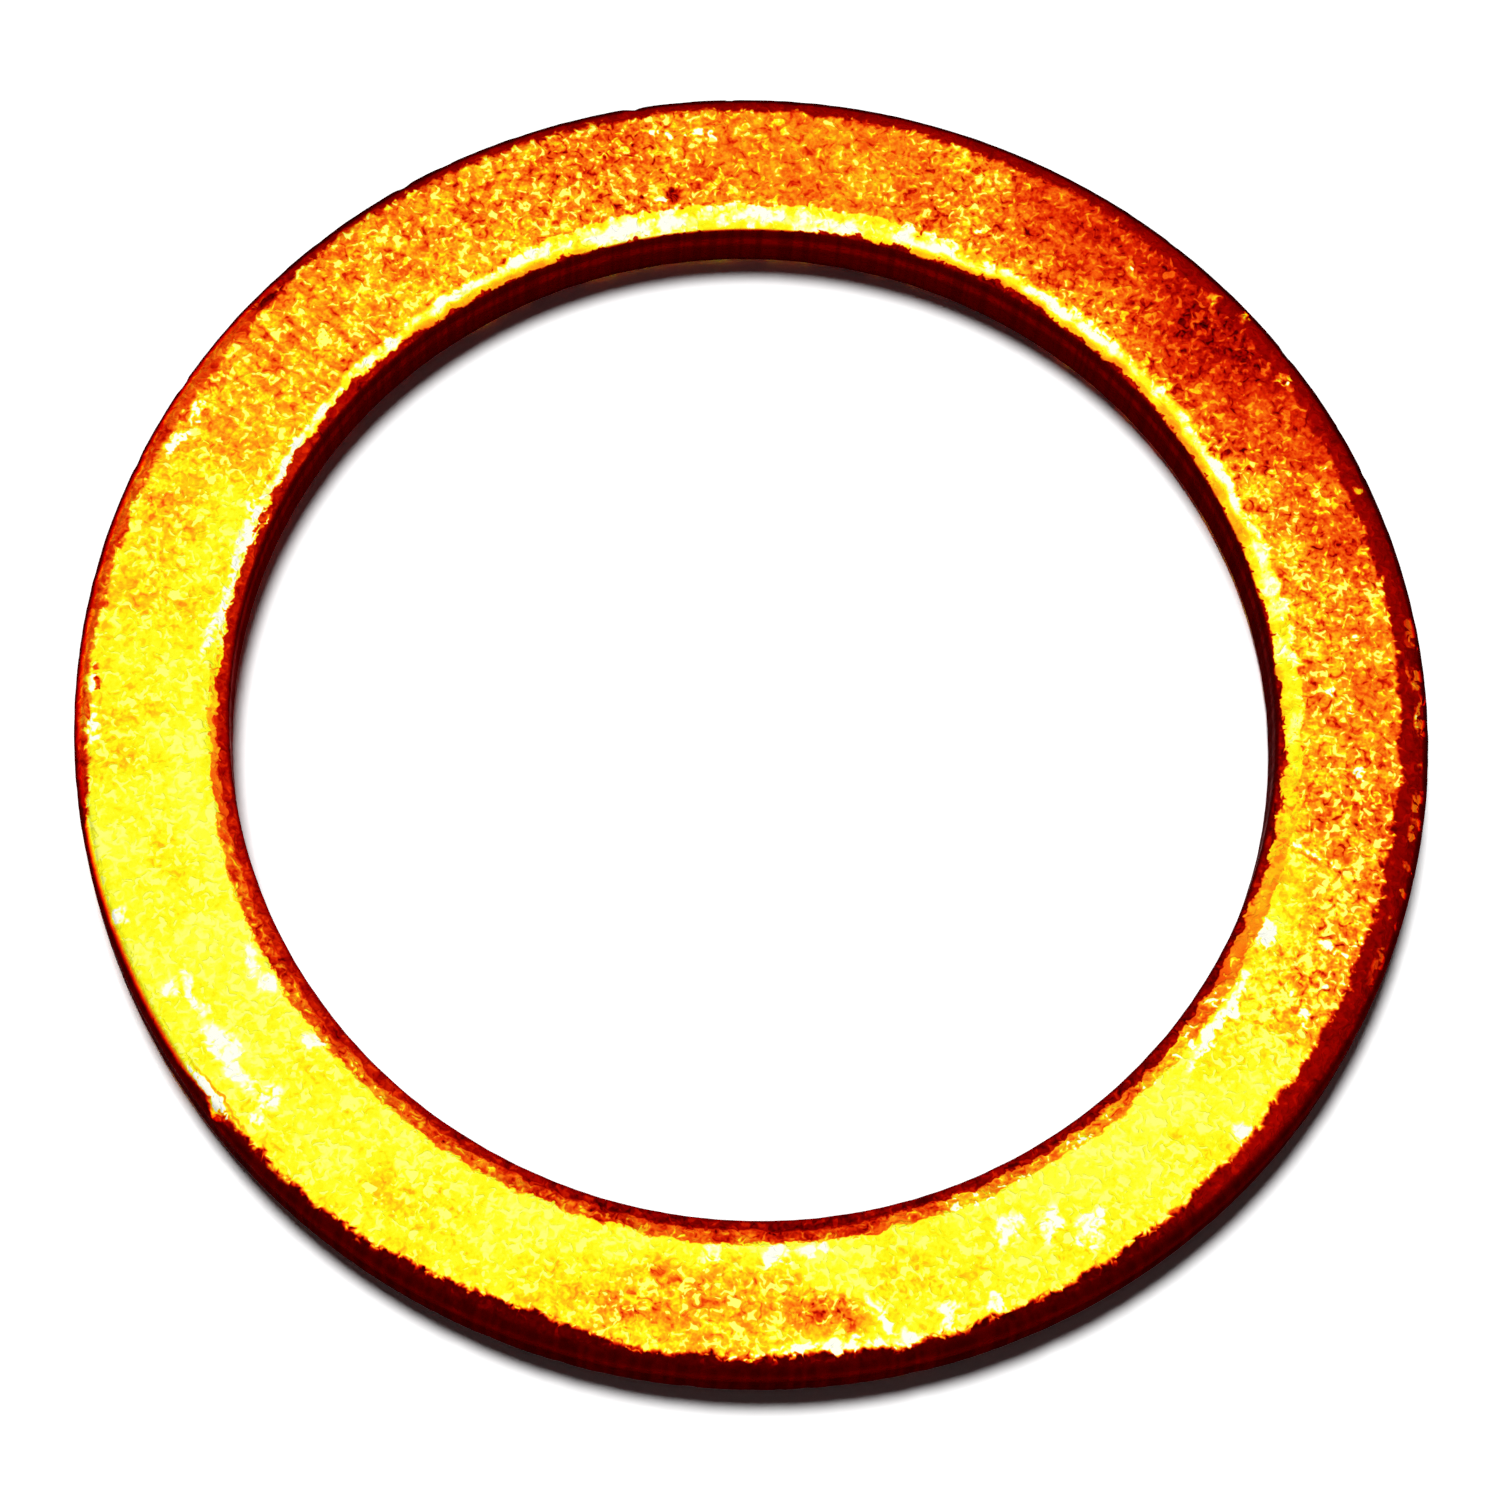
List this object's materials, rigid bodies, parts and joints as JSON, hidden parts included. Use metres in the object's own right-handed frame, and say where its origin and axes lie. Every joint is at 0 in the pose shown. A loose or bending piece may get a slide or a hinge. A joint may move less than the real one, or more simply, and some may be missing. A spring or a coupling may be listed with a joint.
{
  "type": "copper crush washer",
  "caption": "Flat soft copper sealing ring with a round bore, tumbled rim edges and a shallow roll-over round the upper mouth of the bore.",
  "frame": {"origin": "on the bore's axis in the plane of the lower face", "axes": "+Z along the bore's axis from the lower face to the upper face, which is the face with the roll-over; X and Y are free, because the ring is round"},
  "size_m": [0.0238, 0.0238, 0.0015],
  "materials": {
    "copper": "soft annealed copper, stamped and tumbled"
  },
  "bodies": {
    "root": {"washer_ring": "copper"}
  },
  "joints": []
}
